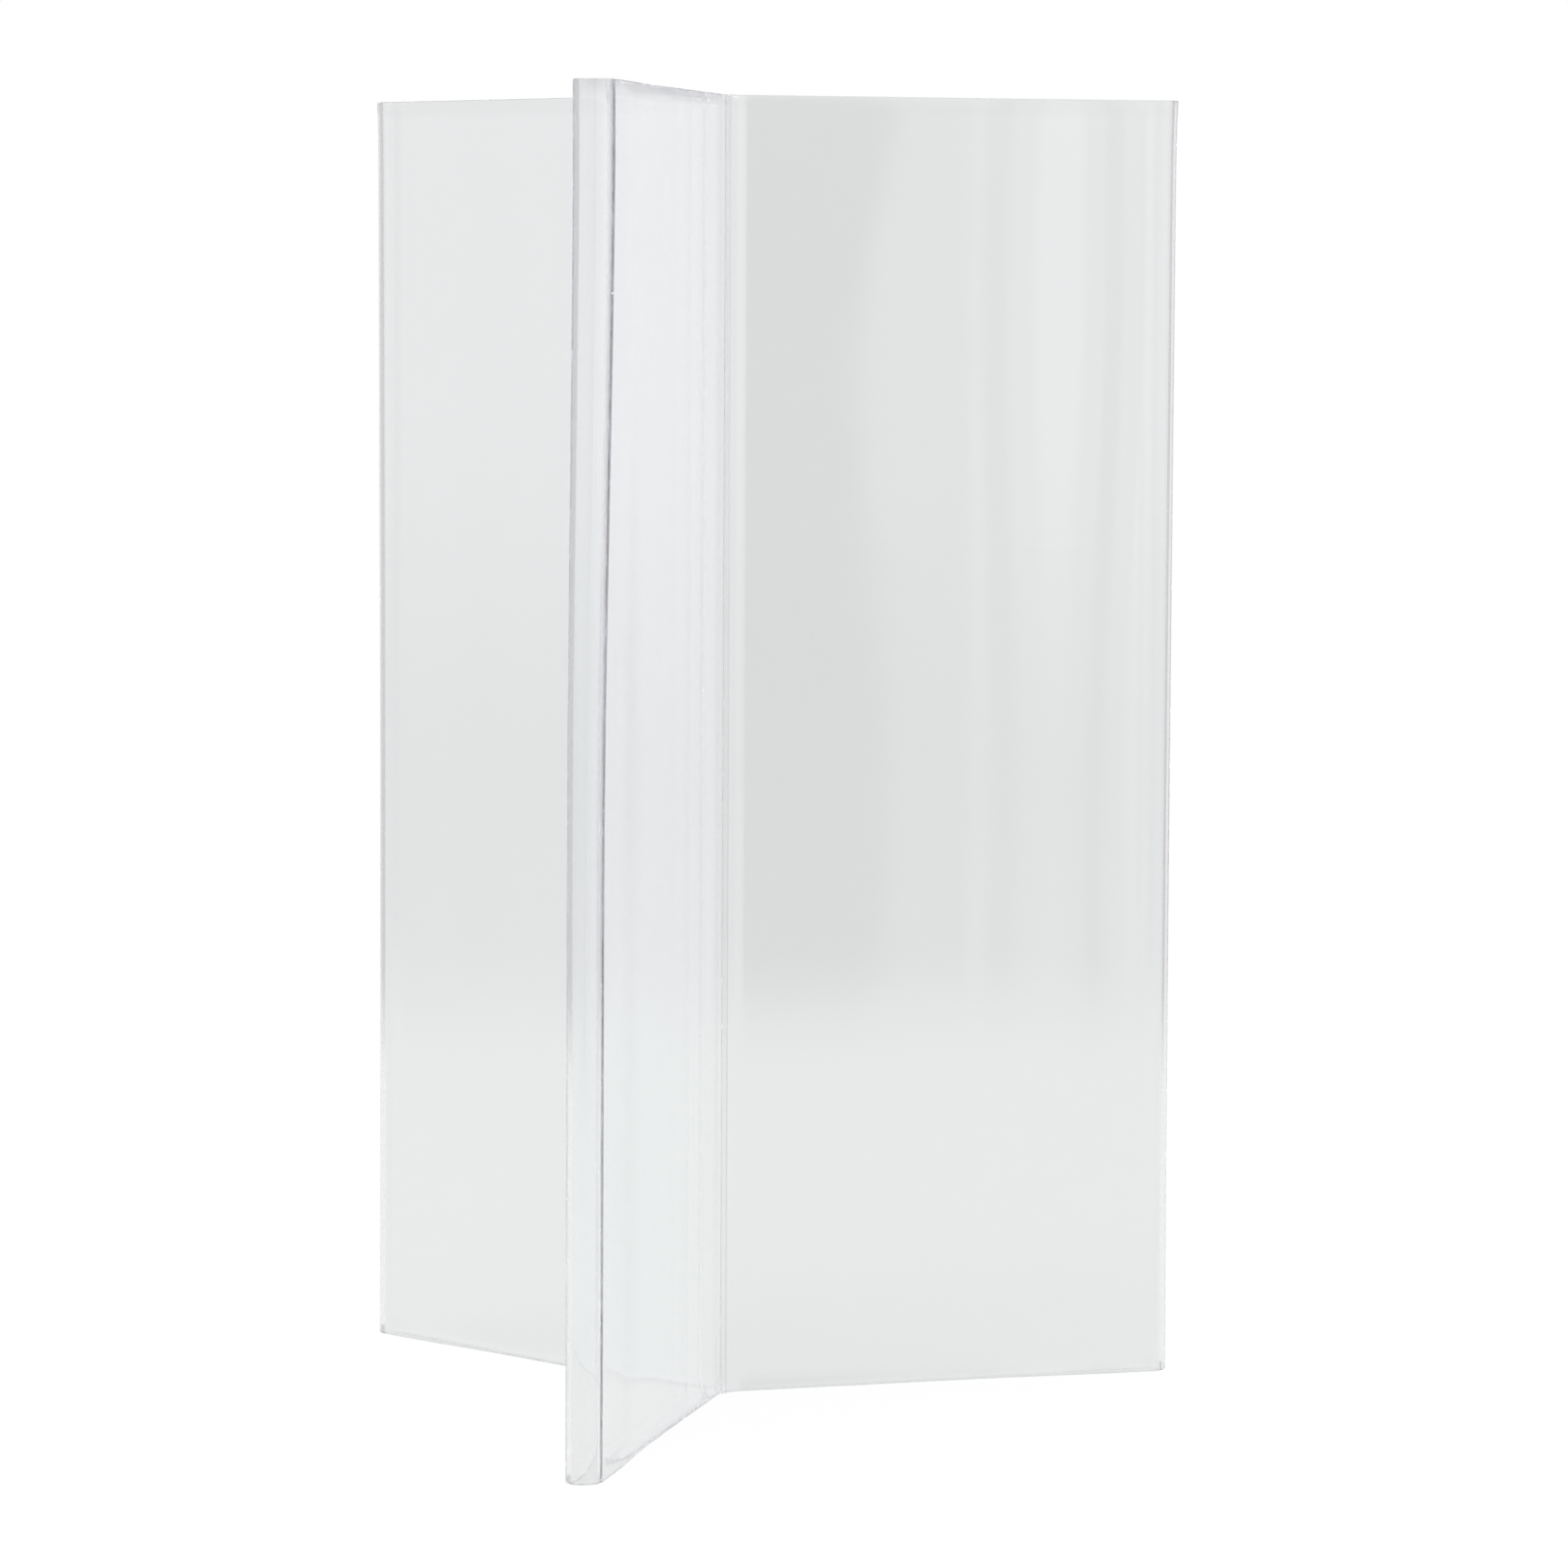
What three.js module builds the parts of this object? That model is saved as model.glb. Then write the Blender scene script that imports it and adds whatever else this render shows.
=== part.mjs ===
// A free-standing menu holder of clear plastic, with three upright wings set evenly around one axis.
// Each wing is one sheet folded back on itself: two flat walls with a card slot between them, a round
// bend at the outer end, and a flare at each inner edge that turns to meet the next wing. The flared
// edges of neighbouring wings face each other at a full-height seam, filled by a bead of cement.
// Millimetres. +Z is up, the front wing points along -Y, and the part stands on Z = 0 with the middle
// of its outline on the Z axis.

import * as THREE from 'three';

// Overall sizes.
const height = 279.4;
const wingReach = 104.5;         // upright axis to the outside of a wing's end bend

// Sheet and folds.
const wallThickness = 1.2;
const slotWidth = 3.2;          // clear space between a wing's two walls
const endBendRadius = 4.3;      // outside of the bend at a wing's outer end
const taperLength = 45;         // stretch where the walls draw together behind the end bend
const neckRadius = 8;           // open side of the bend between neighbouring wings

// Seams.
const beadWidth = 0.6;          // across the seam
const beadCrown = 0.3;          // how far the bead's rounded back stands proud inside
const beadRecess = 0.1;         // how far the bead's face lies below the sheet's outside
const seamClearance = 0.3;      // bead to sheet edge, on each side

// Each wing, and the seam on its counter-clockwise side.
const wings = [
  { name: 'wing_front', seam: 'seam_bead_right' },
  { name: 'wing_right', seam: 'seam_bead_rear' },
  { name: 'wing_left', seam: 'seam_bead_left' },
];

const frontAngle = -Math.PI / 2;
const stepAngle = 2 * Math.PI / wings.length;
const curveSegments = 20;

// A wing lies along +X, with the object's upright axis at the origin.
const halfSlot = slotWidth / 2;
const halfWing = halfSlot + wallThickness;
const seamAngle = stepAngle / 2;
const endCentre = wingReach - endBendRadius;
const taperStart = endCentre - taperLength;

// The neck bend is struck from a point on the seam's plane.
const neckCentre = new THREE.Vector2((halfWing + neckRadius) / Math.tan(seamAngle), halfWing + neckRadius);
const neckInnerRadius = neckRadius + wallThickness;
const seamHalfGap = beadWidth / 2 + seamClearance;

function clearSheet() {
  return new THREE.MeshStandardMaterial({
    color: 0xe4e8e7,
    roughness: 0.06,
    metalness: 0,
    transparent: true,
    opacity: 0.3,
  });
}

function driedCement() {
  return new THREE.MeshStandardMaterial({
    color: 0x9aa3a0,
    roughness: 0.3,
    metalness: 0,
    transparent: true,
    opacity: 0.6,
  });
}

// Angle, seen from the neck's centre, at which an arc of this radius stops short of the seam's plane.
function edgeAngle(radius, halfGap) {
  return Math.PI + seamAngle + Math.asin(halfGap / radius);
}

// One face of the folded sheet, from the inner edge on the +Y side round the end bend to the inner edge
// on the -Y side. The half width is taken at the walls, and the radii belong to the same face.
function traceFace(path, halfWidth, bendRadius, radius) {
  const wallAngle = 1.5 * Math.PI;
  const edge = edgeAngle(radius, seamHalfGap);
  const middle = (taperStart + endCentre) / 2;
  path.absarc(neckCentre.x, neckCentre.y, radius, edge, wallAngle, false);
  path.lineTo(taperStart, halfWidth);
  path.bezierCurveTo(middle, halfWidth, middle, bendRadius, endCentre, bendRadius);
  path.absarc(endCentre, 0, bendRadius, Math.PI / 2, -Math.PI / 2, true);
  path.bezierCurveTo(middle, -bendRadius, middle, -halfWidth, taperStart, -halfWidth);
  path.lineTo(neckCentre.x, -halfWidth);
  path.absarc(neckCentre.x, -neckCentre.y, radius, -wallAngle, -edge, false);
}

// The points of one face, without doubled points where its curves meet.
function facePoints(halfWidth, bendRadius, radius) {
  const path = new THREE.Path();
  traceFace(path, halfWidth, bendRadius, radius);
  return path.getPoints(curveSegments);
}

function wingGeometry() {
  const outside = facePoints(halfWing, endBendRadius, neckRadius);
  const inside = facePoints(halfSlot, endBendRadius - wallThickness, neckInnerRadius);
  const outline = new THREE.Shape(outside.concat(inside.reverse()));
  return new THREE.ExtrudeGeometry(outline, { depth: height, bevelEnabled: false });
}

// A bead lies along +X too: its face is on the neck side, and its rounded back faces the axis.
function beadGeometry() {
  const neckDistance = neckCentre.length();
  const face = neckDistance - neckRadius - beadRecess;
  const back = neckDistance - neckInnerRadius;
  const half = beadWidth / 2;
  const outline = new THREE.Shape();
  outline.moveTo(face, -half);
  outline.lineTo(face, half);
  outline.lineTo(back, half);
  outline.absellipse(back, 0, beadCrown, half, Math.PI / 2, 1.5 * Math.PI, false, 0);
  outline.closePath();
  return new THREE.ExtrudeGeometry(outline, { depth: height, bevelEnabled: false, curveSegments });
}

function addPiece(parent, name, geometry, material, angle) {
  const piece = new THREE.Mesh(geometry, material);
  piece.name = name;
  piece.rotation.z = angle;
  parent.add(piece);
}

const holder = new THREE.Group();
wings.forEach((wing, index) => {
  const angle = frontAngle + index * stepAngle;
  addPiece(holder, wing.name, wingGeometry(), clearSheet(), angle);
  addPiece(holder, wing.seam, beadGeometry(), driedCement(), angle + seamAngle);
});

// The outline reaches wingReach in front of the axis, and less behind it, where the two rear wings
// spread sideways. This puts its middle on the Z axis.
const rearReach = endCentre * Math.cos(Math.PI - stepAngle) + endBendRadius;
holder.position.y = (wingReach - rearReach) / 2;

export default holder;
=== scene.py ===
import math
import random

import bpy
from mathutils import Matrix, Vector


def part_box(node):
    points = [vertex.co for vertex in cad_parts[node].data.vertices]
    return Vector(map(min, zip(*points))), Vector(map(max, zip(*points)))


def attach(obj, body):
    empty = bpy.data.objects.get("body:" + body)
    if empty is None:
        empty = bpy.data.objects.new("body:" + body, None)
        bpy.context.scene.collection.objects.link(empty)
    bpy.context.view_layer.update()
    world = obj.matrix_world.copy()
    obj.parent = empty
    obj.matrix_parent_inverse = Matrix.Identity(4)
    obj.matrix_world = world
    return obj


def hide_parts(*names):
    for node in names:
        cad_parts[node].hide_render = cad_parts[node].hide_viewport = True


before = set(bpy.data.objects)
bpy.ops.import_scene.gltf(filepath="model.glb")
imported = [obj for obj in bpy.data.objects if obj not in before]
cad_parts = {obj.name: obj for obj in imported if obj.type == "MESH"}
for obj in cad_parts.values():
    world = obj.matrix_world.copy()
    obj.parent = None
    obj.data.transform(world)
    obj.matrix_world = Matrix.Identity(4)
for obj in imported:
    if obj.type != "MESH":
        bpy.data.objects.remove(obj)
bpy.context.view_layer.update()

# A clear plastic menu holder: three upright wings round one axis, each a sheet folded back on itself.
# The CAD wings and seam beads give every place and outer size. Here each wing becomes one smooth sheet
# with rounded cut edges and a slight warp, and each bead an uneven line of dried cement. Metres.

# ---- Sizes read from the frame -----------------------------------------------------------------

front_low, front_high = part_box("wing_front")
right_low, right_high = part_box("wing_right")

HEIGHT = front_high.z - front_low.z
END_RADIUS = (front_high.x - front_low.x) / 2
STEP_ANGLE = math.radians(120)
SEAM_ANGLE = STEP_ANGLE / 2
FRONT_ANGLE = math.radians(-90)
END_CENTRE = (right_high.x - END_RADIUS) / math.cos(math.radians(30))
REACH = END_CENTRE + END_RADIUS
AXIS = Vector((0.0, front_low.y + REACH, 0.0))

# ---- Sizes of the folded sheet, as in the CAD part ---------------------------------------------

WALL = 0.0012
SLOT = 0.0032
NECK_RADIUS = 0.008
TAPER_LENGTH = 0.045

# ---- Sizes that belong to the finish only ------------------------------------------------------

BEAD_WIDTH = 0.00036            # the dried cement, narrower than the room the CAD leaves for it
BEAD_CLEARANCE = 0.00001        # bead to sheet edge, on each side
RIM_ROUND = 0.00022             # radius of the polished cut edges
RIM_STEPS = 4
LEVELS = 72                     # rings up the height
NECK_STEPS = 16
FLAT_STEPS = 26
TAPER_STEPS = 22
BEND_STEPS = 20                 # quarter of the end bend
PANEL_WARP = 0.00030            # both walls of a wing together
WALL_WARP = 0.00014             # each wall by itself
EDGE_DIP = 0.00040              # how far the outer edge draws in between its two ends
DIP_BELOW_TOP = 0.006           # the dip's run-in lengths at the top and at the foot
DIP_ABOVE_FOOT = 0.08
SLOW_WAVES = 1.6                # most half waves up the height, for a wing and for one of its walls
QUICK_WAVES = 3.0
FEWEST_WAVES = 0.4
WAVE_SHARES = (0.3, 0.6)
BEAD_HOLLOW = 0.000012          # how far its face dips
BEAD_PROUD = 0.000003           # how far its back stands out
HOLLOW_SWAY = 0.6               # how much each of them changes up the length, as a share
CROWN_SWAY = 0.4
BEAD_STEPS = 8                  # facets across a bead's face and back
BEAD_ROWS = 120
BEAD_RIPPLES = (7, 17, 31)      # waves up a bead's length

PINCH = 0.12                    # how much the end bend is drawn together, except near its top
PINCH_TOP = 0.42
LEANS = {"wing_front": (-0.0006, 0.0009)}   # how far a wing's tip stands aside, low down and at the top

WINGS = (
    ("wing_front", "seam_bead_right"),
    ("wing_right", "seam_bead_rear"),
    ("wing_left", "seam_bead_left"),
)

# The material slots of a wing, and of a bead.
SHEET_FACE, CUT_EDGE, FUSED_END = range(3)
CEMENT_FACE, FUSED_SIDE, CLEAR_BACK = range(3)

mid_half = (SLOT + WALL) / 2
bend_mid = END_RADIUS - WALL / 2
taper_start = END_CENTRE - TAPER_LENGTH
neck_y = SLOT / 2 + WALL + NECK_RADIUS
neck_x = neck_y / math.tan(SEAM_ANGLE)
neck_mid = NECK_RADIUS + WALL / 2
seam_half_gap = BEAD_WIDTH / 2 + BEAD_CLEARANCE


# ---- Mesh helpers ------------------------------------------------------------------------------

def steps(count):
    """Even shares from 0 up to, but not at, 1."""
    return [i / count for i in range(count)]


def ease(t):
    t = min(max(t, 0.0), 1.0)
    return t * t * (3 - 2 * t)


def half_section():
    """The middle line of one wall, from its inner edge to the tip: (along, across, normal)."""
    line = []
    first = math.pi + SEAM_ANGLE + math.asin(seam_half_gap / neck_mid)
    last = 1.5 * math.pi
    for t in steps(NECK_STEPS):
        a = first + (last - first) * t
        out = Vector((math.cos(a), math.sin(a)))
        line.append((Vector((neck_x, neck_y)) + out * neck_mid, -out))
    for t in steps(FLAT_STEPS):
        line.append((Vector((neck_x + (taper_start - neck_x) * t, mid_half)), Vector((0, 1))))
    middle = TAPER_LENGTH / 2
    for t in steps(TAPER_STEPS):
        along = 3 * (1 - t) ** 2 * t * middle + 3 * (1 - t) * t * t * middle + t ** 3 * TAPER_LENGTH
        across = mid_half + (bend_mid - mid_half) * ease(t)
        run = 3 * ((1 - t) ** 2 + t * t) * middle
        rise = (bend_mid - mid_half) * 6 * t * (1 - t)
        line.append((Vector((taper_start + along, across)), Vector((-rise, run)).normalized()))
    for t in steps(BEND_STEPS) + [1.0]:
        a = math.pi / 2 * (1 - t)
        out = Vector((math.cos(a), math.sin(a)))
        line.append((Vector((END_CENTRE, 0)) + out * bend_mid, out))
    return line


def full_section():
    """The whole middle line, with normals that point out of the slot on both walls."""
    half = half_section()
    # The second wall mirrors the first, from the tip back to its inner edge.
    other = [(Vector((p.x, -p.y)), Vector((n.x, -n.y))) for p, n in reversed(half[:-1])]
    return half + other


def rim_profile():
    """Up the outer face, over the top edge and down the inner face, as (offset, height, on_edge)."""
    side = []
    corner = [math.pi / 2 * i / RIM_STEPS for i in range(RIM_STEPS)]
    flat = WALL / 2 - RIM_ROUND
    for a in corner:
        side.append((flat + RIM_ROUND * math.sin(a), RIM_ROUND * (1 - math.cos(a)), True))
    for i in range(LEVELS + 1):
        side.append((WALL / 2, RIM_ROUND + (HEIGHT - 2 * RIM_ROUND) * i / LEVELS, False))
    for a in reversed(corner):
        side.append((flat + RIM_ROUND * math.sin(a), HEIGHT - RIM_ROUND * (1 - math.cos(a)), True))
    return side + [(-offset, z, edge) for offset, z, edge in reversed(side)]


def warp(along, across, z, modes):
    """The small ways in which a real folded sheet isn't straight."""
    up = z / HEIGHT
    span = min(max((along - neck_x) / (END_CENTRE - neck_x), 0.0), 1.0)
    belly = math.sin(math.pi * span) ** 2
    shared = sum(s * math.sin(math.pi * f * up + p) for f, p, s in modes["panel"])
    own = sum(s * math.sin(math.pi * f * up + p) for f, p, s in modes["wall_a" if across > 0 else "wall_b"])
    low_part = 1 - ease((up - PINCH_TOP) / (1 - PINCH_TOP))
    out_here = ease((along - taper_start) / TAPER_LENGTH)
    across *= 1 - PINCH * low_part * out_here
    low, high = modes["lean"]
    across += (high + (low - high) * low_part) * min(max(along / REACH, 0.0), 1.0)
    dip = EDGE_DIP * (1 - math.exp(-(HEIGHT - z) / DIP_BELOW_TOP)) * (1 - math.exp(-z / DIP_ABOVE_FOOT))
    return (
        along - dip * ease(span),
        across + belly * (PANEL_WARP * shared + WALL_WARP * own),
        z,
    )


def warp_modes(draw, lean):
    """What warp() needs to know of one wing: its waves, and how far its tip leans."""
    def some(highest):
        return [
            (draw.uniform(FEWEST_WAVES, highest), draw.uniform(0, math.tau), draw.uniform(*WAVE_SHARES))
            for _ in range(2)
        ]

    return {
        "panel": some(SLOW_WAVES),
        "wall_a": some(QUICK_WAVES),
        "wall_b": some(QUICK_WAVES),
        "lean": lean,
    }


def placed(along, across, z, angle):
    """A point of a wing that lies along +X, turned to its angle about the holder's axis."""
    c, s = math.cos(angle), math.sin(angle)
    return (AXIS.x + along * c - across * s, AXIS.y + along * s + across * c, z)


def new_object(name, vertices, faces, materials, face_slots, flat_slot, node):
    """A piece that stands for a CAD node. The faces of flat_slot keep sharp edges."""
    mesh = bpy.data.meshes.new(name)
    mesh.from_pydata(vertices, [], faces)
    for m in materials:
        mesh.materials.append(m)
    mesh.polygons.foreach_set("material_index", face_slots)
    mesh.polygons.foreach_set("use_smooth", [slot != flat_slot for slot in face_slots])
    mesh.validate()
    mesh.update()
    piece = bpy.data.objects.new(name, mesh)
    bpy.context.scene.collection.objects.link(piece)
    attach(piece, "root")
    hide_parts(node)
    return piece


def make_wing(node, angle, draw, sheet, edge, fused):
    section = full_section()
    profile = rim_profile()
    modes = warp_modes(draw, LEANS.get(node, (0.0, 0.0)))
    rings = len(profile)
    vertices = []
    for point, normal in section:
        for offset, z, _ in profile:
            p = point + normal * offset
            vertices.append(placed(*warp(p.x, p.y, z, modes), angle))
    faces = []
    slots = []
    for i in range(len(section) - 1):
        for j in range(rings):
            k = (j + 1) % rings
            faces.append((i * rings + j, i * rings + k, (i + 1) * rings + k, (i + 1) * rings + j))
            slots.append(CUT_EDGE if profile[j][2] or profile[k][2] else SHEET_FACE)
    last = (len(section) - 1) * rings
    for i in range(rings // 2 - 1):
        a, b, c, d = i, i + 1, rings - 2 - i, rings - 1 - i
        faces.append((d, c, b, a))
        faces.append((last + a, last + b, last + c, last + d))
        slots += [FUSED_END, FUSED_END]
    piece = new_object(node + "_sheet", vertices, faces, [sheet, edge, fused], slots, FUSED_END, node)
    return piece


def bead_outline(face, back, hollow, crown):
    """Across a bead: straight sides on the sheet edges, a hollow face and a rounded back."""
    half = BEAD_WIDTH / 2
    across = [half * (1 - 2 * i / BEAD_STEPS) for i in range(BEAD_STEPS + 1)]
    front = [(face - hollow * (1 - (w / half) ** 2), w) for w in across]
    rear = [(back - crown * (1 - (w / half) ** 2), -w) for w in across]
    return front + rear


def bead_slot(facet):
    """Cement on the face, fused sides, and a back that dried as clear as the sheet."""
    if facet % (BEAD_STEPS + 1) == BEAD_STEPS:
        return FUSED_SIDE
    return CEMENT_FACE if facet < BEAD_STEPS else CLEAR_BACK


def make_bead(node, angle, draw, cement, fused, sheet):
    """A line of cement that fills the joint between two sheet edges, a little uneven up its length."""
    neck_distance = math.hypot(neck_x, neck_y)
    face = neck_distance - NECK_RADIUS
    back = face - WALL
    phase = [draw.uniform(0, math.tau) for _ in BEAD_RIPPLES]
    around = 2 * (BEAD_STEPS + 1)
    vertices = []
    for i in range(BEAD_ROWS + 1):
        t = i / BEAD_ROWS
        sway = sum(math.sin(math.tau * t * f + p) for f, p in zip(BEAD_RIPPLES, phase)) / len(phase)
        hollow = BEAD_HOLLOW * (1 + HOLLOW_SWAY * sway)
        crown = BEAD_PROUD * (1 - CROWN_SWAY * sway)
        for along, across in bead_outline(face, back, hollow, crown):
            vertices.append(placed(along, across, HEIGHT * t, angle))
    faces = []
    slots = []
    for i in range(BEAD_ROWS):
        for j in range(around):
            k = (j + 1) % around
            faces.append((i * around + j, (i + 1) * around + j, (i + 1) * around + k, i * around + k))
            slots.append(bead_slot(j))
    top = BEAD_ROWS * around
    for j in range(BEAD_STEPS):
        near, far = j, around - 1 - j
        faces.append((near, near + 1, far - 1, far))
        faces.append((top + far, top + far - 1, top + near + 1, top + near))
        slots += [CEMENT_FACE, CEMENT_FACE]
    piece = new_object(node + "_cement", vertices, faces, [cement, fused, sheet], slots, FUSED_SIDE, node)
    return piece


# ---- Materials ---------------------------------------------------------------------------------

PLASTIC_IOR = 1.5
SHEET_COLOUR = (0.984, 0.992, 0.988)
SHEET_CLEARNESS = 0.985
# Painted glow of the sheet: its colour and strength.
PAINTED_GLOW_COLOUR = (0.86, 0.85, 1.0, 1)
PAINTED_GLOW_STRENGTH = 0.010              # painted glow: the light the sheet gives off at each of its surfaces
HAZE_NOISE = (26, 5)            # scale and detail of a noise, here and below
HAZE_ROUGHNESS = (0.008, 0.045)
ROLL_NOISE = (14, 1)            # the long waves that rolling leaves, and their bump's depth and strength
ROLL_BUMP = (0.0006, 0.12)
PEEL_NOISE = (420, 2)           # the fine unevenness of a moulded gloss
PEEL_BUMP = (0.00002, 0.04)
EDGE_COLOUR = (0.92, 0.94, 0.935)
EDGE_NOISE = (180, 4)
EDGE_ROUGHNESS = (0.16, 0.42)
SAW_NOISE = (900, 3)
SAW_BUMP = (0.00006, 0.4)
ALONG_Z = (1, 1, 0.35)          # noise drawn out up the height, and saw marks drawn out further
SAW_ALONG_Z = (1, 1, 0.2)
CEMENT_LOW = (0.72, 0.74, 0.78, 1)
CEMENT_HIGH = (0.93, 0.93, 0.94, 1)
CEMENT_TINT_NOISE = (60, 3)
CEMENT_TINT_SHIFT = (-0.12, 0.12)
CEMENT_NOISE = (300, 5)
CEMENT_ROUGHNESS = (0.03, 0.2)
BUBBLE_NOISE = (1400, 3)
BUBBLE_BUMP = (0.00003, 0.15)


def new_material(name, colour, transmission):
    """Plastic whose roughness is linked by the caller."""
    material = bpy.data.materials.new(name)
    material.use_nodes = True
    shader = material.node_tree.nodes["Principled BSDF"]
    shader.inputs["Base Color"].default_value = (*colour, 1)
    shader.inputs["IOR"].default_value = PLASTIC_IOR
    shader.inputs["Transmission Weight"].default_value = transmission
    return material, shader


def add_noise(material, scale, detail, stretch=(1, 1, 1)):
    """Noise in the object's own space, optionally stretched along an axis."""
    nodes, links = material.node_tree.nodes, material.node_tree.links
    place = nodes.new("ShaderNodeTexCoord")
    mapping = nodes.new("ShaderNodeMapping")
    mapping.inputs["Scale"].default_value = stretch
    noise = nodes.new("ShaderNodeTexNoise")
    noise.inputs["Scale"].default_value = scale
    noise.inputs["Detail"].default_value = detail
    links.new(place.outputs["Object"], mapping.inputs["Vector"])
    links.new(mapping.outputs["Vector"], noise.inputs["Vector"])
    return noise.outputs["Fac"]


def spread(material, value, low, high, start=0.3, end=0.7):
    """Maps a texture's value to the range low to high."""
    node = material.node_tree.nodes.new("ShaderNodeMapRange")
    node.inputs["From Min"].default_value = start
    node.inputs["From Max"].default_value = end
    node.inputs["To Min"].default_value = low
    node.inputs["To Max"].default_value = high
    material.node_tree.links.new(value, node.inputs["Value"])
    return node.outputs["Result"]


def add_bump(material, height, distance, strength, before=None):
    node = material.node_tree.nodes.new("ShaderNodeBump")
    node.inputs["Distance"].default_value = distance
    node.inputs["Strength"].default_value = strength
    material.node_tree.links.new(height, node.inputs["Height"])
    if before is not None:
        material.node_tree.links.new(before, node.inputs["Normal"])
    return node.outputs["Normal"]


def clear_sheet():
    """Clear plastic sheet: rolled flat but not quite, with faint handling haze in its roughness and a faint
    painted glow.
    """
    material, shader = new_material("clear_sheet", SHEET_COLOUR, SHEET_CLEARNESS)
    # Painted glow: the sheet gives off a faint lilac light at every surface, standing in for the studio light
    # that rays caught inside it would gather.
    links = material.node_tree.links
    shader.inputs["Emission Color"].default_value = PAINTED_GLOW_COLOUR
    shader.inputs["Emission Strength"].default_value = PAINTED_GLOW_STRENGTH
    material.cycles.emission_sampling = "NONE"
    haze = add_noise(material, *HAZE_NOISE)
    links.new(spread(material, haze, *HAZE_ROUGHNESS), shader.inputs["Roughness"])
    waves = add_bump(material, add_noise(material, *ROLL_NOISE, ALONG_Z), *ROLL_BUMP)
    peel = add_bump(material, add_noise(material, *PEEL_NOISE), *PEEL_BUMP, waves)
    links.new(peel, shader.inputs["Normal"])
    return material


def cut_edge():
    """The sheet's sawn and buffed edges: the same plastic, frosted, with marks across the thickness."""
    material, shader = new_material("cut_edge", EDGE_COLOUR, 1.0)
    links = material.node_tree.links
    links.new(spread(material, add_noise(material, *EDGE_NOISE), *EDGE_ROUGHNESS), shader.inputs["Roughness"])
    marks = add_bump(material, add_noise(material, *SAW_NOISE, SAW_ALONG_Z), *SAW_BUMP)
    links.new(marks, shader.inputs["Normal"])
    return material


def fused_face():
    """Where cement has fused sheet and bead: light passes from one to the other without a mirror face."""
    material = bpy.data.materials.new("fused_face")
    material.use_nodes = True
    nodes = material.node_tree.nodes
    nodes.remove(nodes["Principled BSDF"])
    clear = nodes.new("ShaderNodeBsdfTransparent")
    material.node_tree.links.new(clear.outputs[0], nodes["Material Output"].inputs["Surface"])
    return material


def dried_cement():
    """Dried solvent cement: nearly clear at the top and greyer towards the bottom, where the change falls a
    little unevenly.
    """
    material, shader = new_material("dried_cement", CEMENT_HIGH[:3], 1.0)
    nodes, links = material.node_tree.nodes, material.node_tree.links
    place = nodes.new("ShaderNodeTexCoord")
    parts = nodes.new("ShaderNodeSeparateXYZ")
    links.new(place.outputs["Object"], parts.inputs["Vector"])
    # Greyer towards the bottom, by height, with a noise in where the change falls.
    height_share = nodes.new("ShaderNodeMath")
    height_share.operation = "MULTIPLY_ADD"
    height_share.inputs[1].default_value = 1 / HEIGHT
    links.new(parts.outputs["Z"], height_share.inputs[0])
    links.new(spread(material, add_noise(material, *CEMENT_TINT_NOISE), *CEMENT_TINT_SHIFT), height_share.inputs[2])
    tint = nodes.new("ShaderNodeMix")
    tint.data_type = "RGBA"
    tint.inputs[6].default_value = CEMENT_LOW
    tint.inputs[7].default_value = CEMENT_HIGH
    links.new(height_share.outputs["Value"], tint.inputs["Factor"])
    links.new(tint.outputs[2], shader.inputs["Base Color"])
    uneven = spread(material, add_noise(material, *CEMENT_NOISE), *CEMENT_ROUGHNESS)
    links.new(uneven, shader.inputs["Roughness"])
    bubbles = add_bump(material, add_noise(material, *BUBBLE_NOISE), *BUBBLE_BUMP)
    links.new(bubbles, shader.inputs["Normal"])
    return material


# ---- The holder --------------------------------------------------------------------------------

sheet_material = clear_sheet()
edge_material = cut_edge()
cement_material = dried_cement()
fused_material = fused_face()
draw = random.Random(11)

for turn, (wing_node, bead_node) in enumerate(WINGS):
    wing_angle = FRONT_ANGLE + turn * STEP_ANGLE
    make_wing(wing_node, wing_angle, draw, sheet_material, edge_material, fused_material)
    make_bead(bead_node, wing_angle + SEAM_ANGLE, draw, cement_material, fused_material, sheet_material)


# ---- Stage: pale floor and soft studio ---------------------------------------------------------

FLOOR_RADIUS = 4.0
PAPER_COLOUR = 0.08             # how much of the light that falls on it the floor sends back
PAPER_LIGHT = 0.066             # and how bright that makes it
BRIGHT_FLOOR = (0.50, 0.85)     # where the floor's mirror image starts and stops fading
FLOOR_IN_GLOSS = 0.86

BACKDROP = 0.795                # the backdrop and floor where seen through the plastic: a painted half shade that darkens the plastic

# The studio as a reflection shows it, round the holder from the camera's side to the right, in degrees:
# where a soft change of brightness starts and ends, and by how much. It starts at the back.
STUDIO_BACK = 0.86
STUDIO_CHANGES = (
    (-178, -165, -0.26),
    (-112, -98, 0.25),
    (-60, -35, -0.30),
    (-20, 0, -0.25),
    (5, 25, 0.65),
    (28.3, 29.3, -0.42),
    (31.0, 31.3, -0.38),
    (32.8, 33.15, 0.42),
    (34.45, 34.75, 0.45),
    (75, 100, -0.42),
    (140, 149, 0.26),
)
STUDIO_COLOUR = (1.0, 0.985, 1.012)
STUDIO_FOOT = (-0.09, -0.02)    # its lower part is dimmer: between these slopes
STUDIO_FOOT_SHARE = 0.68
STUDIO_FRONT = (-0.6, -0.2)     # only towards the camera's side: from none to all of it


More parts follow.
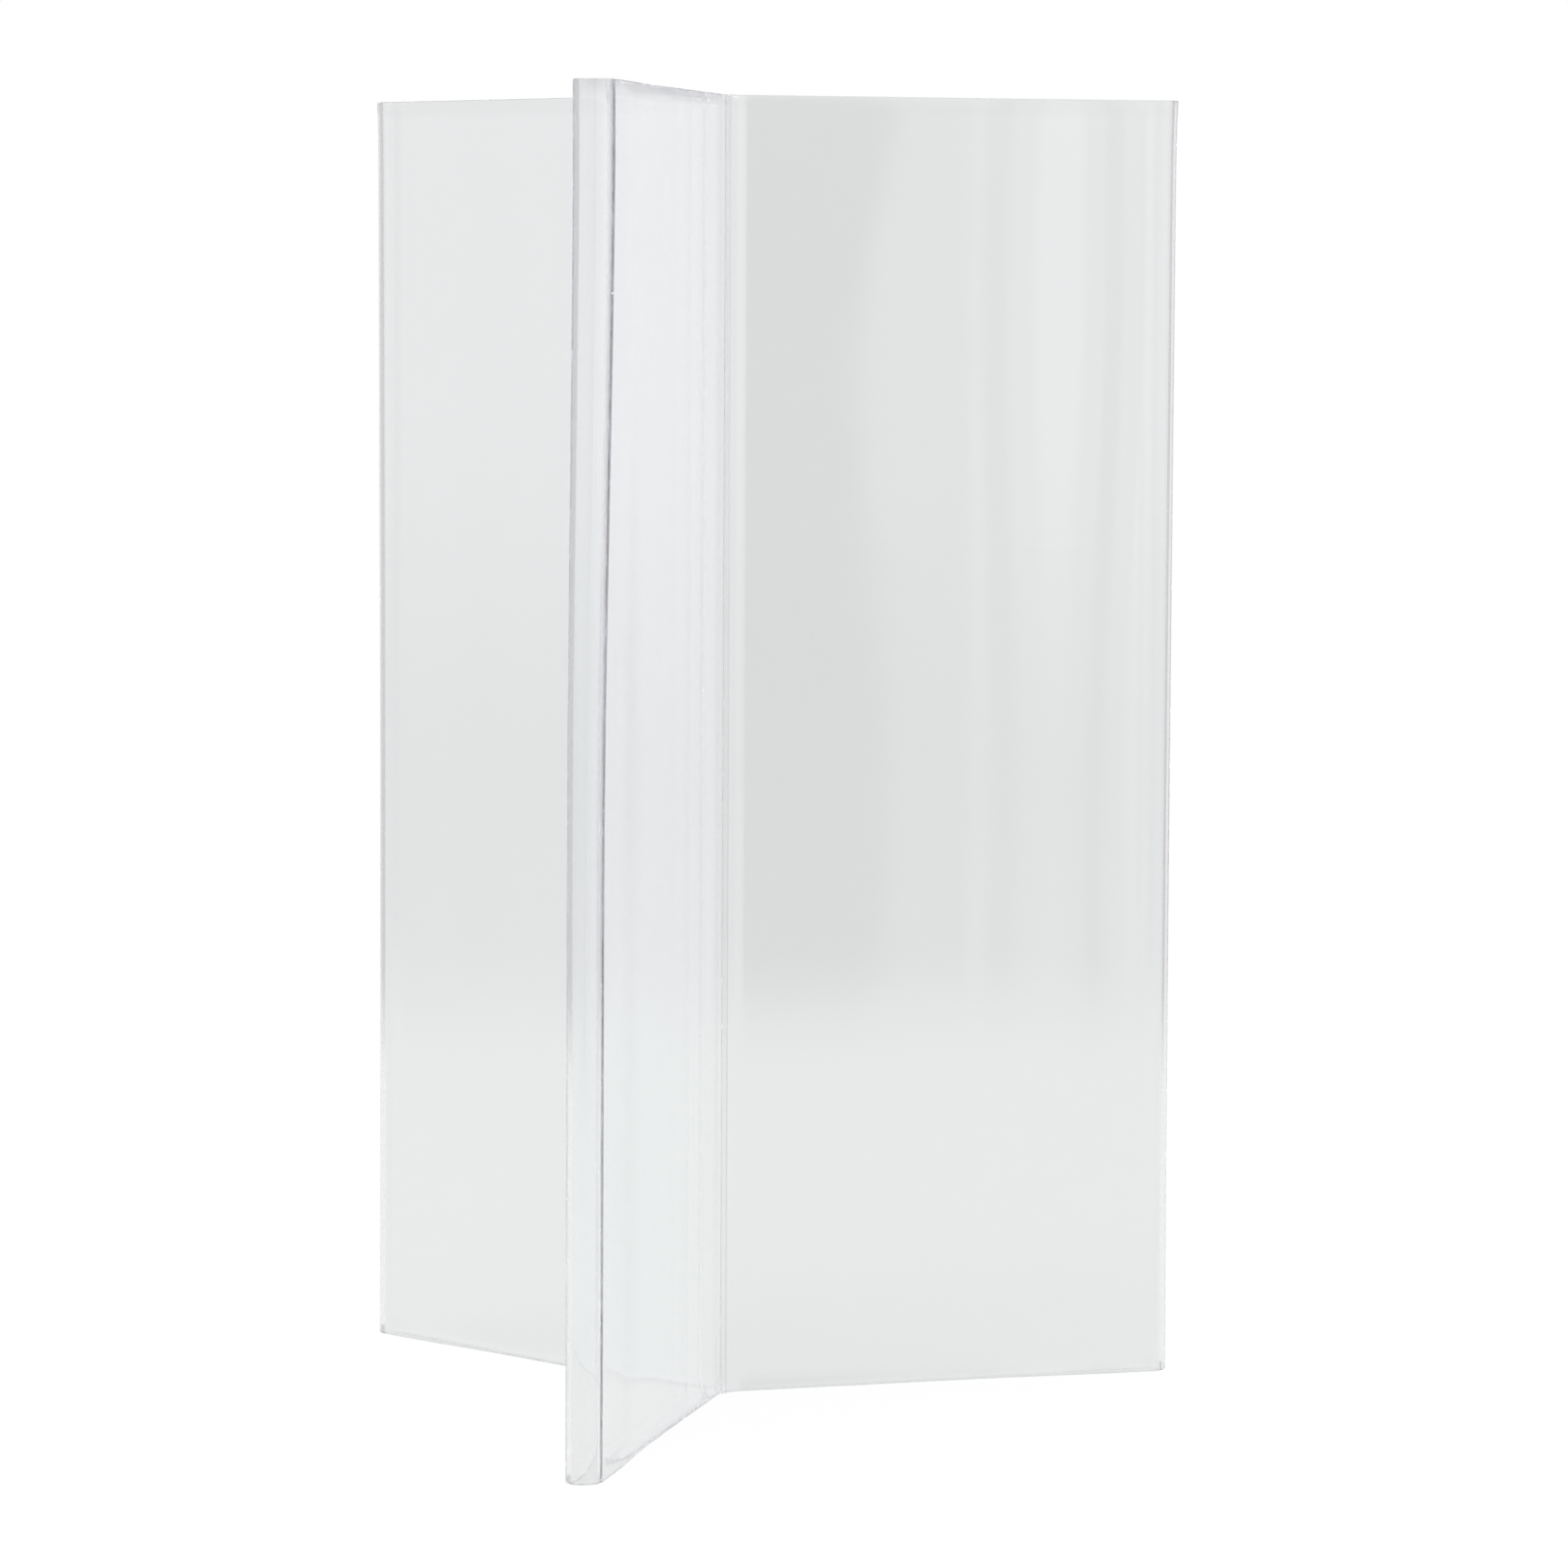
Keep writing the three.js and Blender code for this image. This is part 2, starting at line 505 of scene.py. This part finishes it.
def path_switch(nodes, links, output, limit):
    """1 while a count of the light path is below a limit, otherwise 0."""
    path = nodes.new("ShaderNodeLightPath")
    below = nodes.new("ShaderNodeMath")
    below.operation = "LESS_THAN"
    below.inputs[1].default_value = limit
    links.new(path.outputs[output], below.inputs[0])
    return below.outputs["Value"]


def seen_straight(nodes, links):
    """1 for light that reaches the eye directly or through the plastic, 0 once it has been mirrored."""
    return path_switch(nodes, links, "Glossy Depth", 0.5)


def backdrop_level(nodes, links):
    """White where nothing stands before it, and a painted half shade where it is seen through the plastic."""
    open_view = path_switch(nodes, links, "Transmission Depth", 0.5)
    level = nodes.new("ShaderNodeMapRange")
    level.inputs["To Min"].default_value = BACKDROP
    level.inputs["To Max"].default_value = 1.0
    links.new(open_view, level.inputs["Value"])
    return level.outputs["Result"]


def make_floor():
    count = 96
    ring = [math.tau * i / count for i in range(count)]
    vertices = [
        (AXIS.x + FLOOR_RADIUS * math.cos(a), AXIS.y + FLOOR_RADIUS * math.sin(a), 0)
        for a in ring
    ]
    mesh = bpy.data.meshes.new("floor")
    mesh.from_pydata(vertices, [], [tuple(range(count))])
    floor = bpy.data.objects.new("floor", mesh)
    bpy.context.scene.collection.objects.link(floor)
    material = bpy.data.materials.new("floor")
    material.use_nodes = True
    mesh.materials.append(material)
    nodes, links = material.node_tree.nodes, material.node_tree.links
    nodes.remove(nodes["Principled BSDF"])
    paper = nodes.new("ShaderNodeBsdfDiffuse")
    paper.inputs["Color"].default_value = (PAPER_COLOUR, PAPER_COLOUR, PAPER_COLOUR, 1)
    glow = nodes.new("ShaderNodeEmission")
    share = nodes.new("ShaderNodeMath")
    share.operation = "SUBTRACT"
    share.inputs[1].default_value = PAPER_LIGHT
    # Painted half shade: the floor's glow is dimmer where it is seen through the plastic.
    links.new(backdrop_level(nodes, links), share.inputs[0])
    links.new(share.outputs["Value"], glow.inputs["Strength"])
    lit = nodes.new("ShaderNodeAddShader")
    links.new(paper.outputs[0], lit.inputs[0])
    links.new(glow.outputs[0], lit.inputs[1])
    # In a reflection the floor fades out with distance, and the studio shows past it.
    place = nodes.new("ShaderNodeTexCoord")
    reach = nodes.new("ShaderNodeVectorMath")
    reach.operation = "DISTANCE"
    reach.inputs[1].default_value = (AXIS.x, AXIS.y, 0)
    links.new(place.outputs["Object"], reach.inputs[0])
    fade = nodes.new("ShaderNodeMapRange")
    fade.interpolation_type = "SMOOTHSTEP"
    fade.inputs["From Min"].default_value = BRIGHT_FLOOR[0]
    fade.inputs["From Max"].default_value = BRIGHT_FLOOR[1]
    links.new(reach.outputs["Value"], fade.inputs["Value"])
    image = nodes.new("ShaderNodeEmission")
    image.inputs["Strength"].default_value = FLOOR_IN_GLOSS
    gone = nodes.new("ShaderNodeBsdfTransparent")
    mirrored = nodes.new("ShaderNodeMixShader")
    links.new(fade.outputs["Result"], mirrored.inputs["Fac"])
    links.new(image.outputs[0], mirrored.inputs[1])
    links.new(gone.outputs[0], mirrored.inputs[2])
    both = nodes.new("ShaderNodeMixShader")
    links.new(seen_straight(nodes, links), both.inputs["Fac"])
    links.new(mirrored.outputs[0], both.inputs[1])
    links.new(lit.outputs[0], both.inputs[2])
    links.new(both.outputs[0], nodes["Material Output"].inputs["Surface"])


def make_world():
    """White behind the holder, and soft upright bands of grey in its reflections."""
    world = bpy.data.worlds.new("studio")
    world.use_nodes = True
    bpy.context.scene.world = world
    nodes, links = world.node_tree.nodes, world.node_tree.links
    white = nodes["Background"]
    white.inputs["Color"].default_value = (1, 1, 1, 1)
    # Painted half shade: the white backdrop is dimmer where it is seen through the plastic.
    links.new(backdrop_level(nodes, links), white.inputs["Strength"])
    place = nodes.new("ShaderNodeTexCoord")
    turn = nodes.new("ShaderNodeVectorRotate")
    turn.rotation_type = "Z_AXIS"
    turn.inputs["Angle"].default_value = -CAMERA_AROUND
    links.new(place.outputs["Generated"], turn.inputs["Vector"])
    parts = nodes.new("ShaderNodeSeparateXYZ")
    links.new(turn.outputs["Vector"], parts.inputs["Vector"])
    near = nodes.new("ShaderNodeMath")
    near.operation = "MULTIPLY"
    near.inputs[1].default_value = -1
    links.new(parts.outputs["Y"], near.inputs[0])
    angle = nodes.new("ShaderNodeMath")
    angle.operation = "ARCTAN2"
    links.new(parts.outputs["X"], angle.inputs[0])
    links.new(near.outputs["Value"], angle.inputs[1])
    grey = None
    for start, end, change in STUDIO_CHANGES:
        step = nodes.new("ShaderNodeMapRange")
        step.interpolation_type = "SMOOTHSTEP"
        step.inputs["From Min"].default_value = math.radians(start)
        step.inputs["From Max"].default_value = math.radians(end)
        step.inputs["To Max"].default_value = change
        links.new(angle.outputs["Value"], step.inputs["Value"])
        total = nodes.new("ShaderNodeMath")
        total.inputs[0].default_value = STUDIO_BACK
        if grey is not None:
            links.new(grey, total.inputs[0])
        links.new(step.outputs["Result"], total.inputs[1])
        grey = total.outputs["Value"]
    walls = nodes.new("ShaderNodeBackground")
    foot = nodes.new("ShaderNodeMapRange")
    foot.interpolation_type = "SMOOTHSTEP"
    foot.inputs["From Min"].default_value, foot.inputs["From Max"].default_value = STUDIO_FOOT
    front = nodes.new("ShaderNodeMapRange")
    front.interpolation_type = "SMOOTHSTEP"
    front.inputs["From Min"].default_value, front.inputs["From Max"].default_value = STUDIO_FRONT
    front.inputs["To Min"].default_value = 1.0
    front.inputs["To Max"].default_value = STUDIO_FOOT_SHARE
    links.new(near.outputs["Value"], front.inputs["Value"])
    links.new(front.outputs["Result"], foot.inputs["To Min"])
    links.new(parts.outputs["Z"], foot.inputs["Value"])
    dimmed = nodes.new("ShaderNodeMath")
    dimmed.operation = "MULTIPLY"
    links.new(grey, dimmed.inputs[0])
    links.new(foot.outputs["Result"], dimmed.inputs[1])
    links.new(dimmed.outputs["Value"], walls.inputs["Strength"])
    walls.inputs["Color"].default_value = (*STUDIO_COLOUR, 1)
    both = nodes.new("ShaderNodeMixShader")
    links.new(seen_straight(nodes, links), both.inputs["Fac"])
    links.new(walls.outputs[0], both.inputs[1])
    links.new(white.outputs[0], both.inputs[2])
    links.new(both.outputs[0], nodes["World Output"].inputs["Surface"])


def make_light(name, size, power, around, distance, height, aim_height):
    """A soft panel at an angle round the holder, counted from the camera's side, to the right."""
    lamp = bpy.data.lights.new(name, "AREA")
    lamp.shape = "RECTANGLE"
    lamp.size, lamp.size_y = size
    lamp.energy = power
    light = bpy.data.objects.new(name, lamp)
    bpy.context.scene.collection.objects.link(light)
    light.visible_camera = False
    light.visible_transmission = False
    a = CAMERA_AROUND + math.radians(around)
    light.location = (AXIS.x + distance * math.sin(a), AXIS.y - distance * math.cos(a), height)
    aim = Vector((AXIS.x, AXIS.y, aim_height)) - light.location
    light.rotation_mode = "QUATERNION"
    light.rotation_quaternion = aim.to_track_quat("-Z", "Y")


# ---- Camera ------------------------------------------------------------------------------------

CAMERA_AROUND = math.radians(14.268)     # where it stands, round the holder's axis
CAMERA_DISTANCE = 1.2584
CAMERA_HEIGHT = 0.24088
CAMERA_YAW = math.radians(-0.693)       # aimed a little to the right of the axis
CAMERA_PITCH = math.radians(-4.938)
CAMERA_ROLL = math.radians(0.288)
CAMERA_LENS = 134.8


def make_camera():
    data = bpy.data.cameras.new("camera")
    data.sensor_width = 36
    data.lens = CAMERA_LENS
    data.clip_start = 0.05
    data.clip_end = 50
    camera = bpy.data.objects.new("camera", data)
    bpy.context.scene.collection.objects.link(camera)
    azimuth = CAMERA_AROUND + CAMERA_YAW
    forward = Vector((
        -math.sin(azimuth) * math.cos(CAMERA_PITCH),
        math.cos(azimuth) * math.cos(CAMERA_PITCH),
        math.sin(CAMERA_PITCH),
    ))
    level = Vector((math.cos(azimuth), math.sin(azimuth), 0))
    upright = level.cross(forward)
    right = level * math.cos(CAMERA_ROLL) + upright * math.sin(CAMERA_ROLL)
    up = right.cross(forward)
    turn = Matrix((right, up, -forward)).transposed().to_4x4()
    stand = Vector((
        AXIS.x + CAMERA_DISTANCE * math.sin(CAMERA_AROUND),
        AXIS.y - CAMERA_DISTANCE * math.cos(CAMERA_AROUND),
        CAMERA_HEIGHT,
    ))
    camera.matrix_world = Matrix.Translation(stand) @ turn
    bpy.context.scene.camera = camera


make_camera()
make_floor()
make_world()
make_light("key_panel", (0.9, 1.4), 14, -62, 1.6, 1.3, 0.15)
make_light("fill_panel", (0.7, 1.2), 7, 75, 1.5, 1.1, 0.15)

bpy.context.scene.view_settings.view_transform = "Standard"

# Light travels a long way inside clear sheet before it comes out again.
light_paths = bpy.context.scene.cycles
light_paths.max_bounces = 160
light_paths.glossy_bounces = 160
light_paths.transmission_bounces = 160
